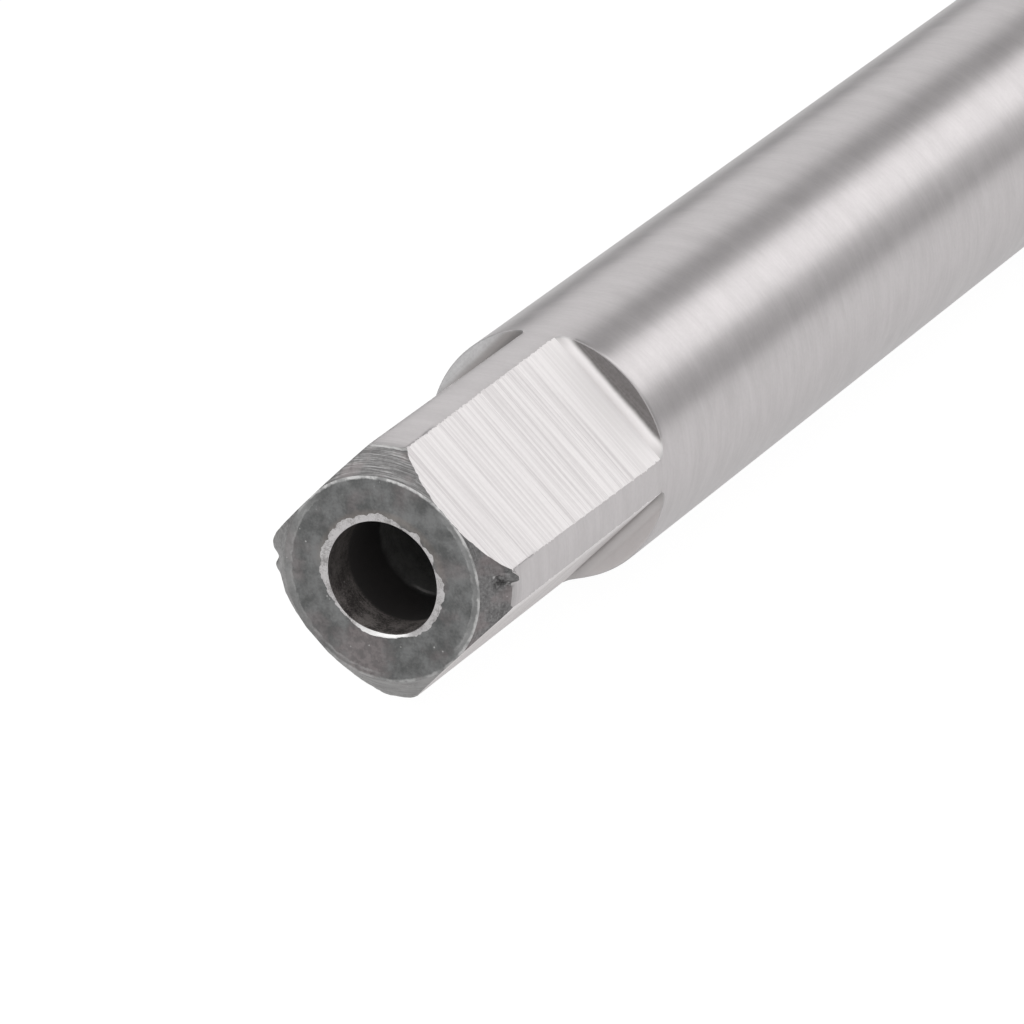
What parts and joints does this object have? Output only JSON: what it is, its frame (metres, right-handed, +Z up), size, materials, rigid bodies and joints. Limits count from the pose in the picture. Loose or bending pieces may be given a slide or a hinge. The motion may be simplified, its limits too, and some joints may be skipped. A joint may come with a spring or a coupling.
{
  "type": "machine tap",
  "caption": "Straight-flute machine tap with a plain reduced shank, a milled driving square and a centre hole in its end.",
  "frame": {"origin": "on the surface that the tap lies on, below the middle of its length", "axes": "+Y along the tap from the driving square to the point, +Z up, +X to the right of the square's end face"},
  "size_m": [0.007, 0.072, 0.007],
  "materials": {
    "tool_steel": "bright ground high-speed steel, with milled flats and a turned grey end face"
  },
  "bodies": {
    "root": {"machine_tap": "tool_steel"}
  },
  "joints": []
}
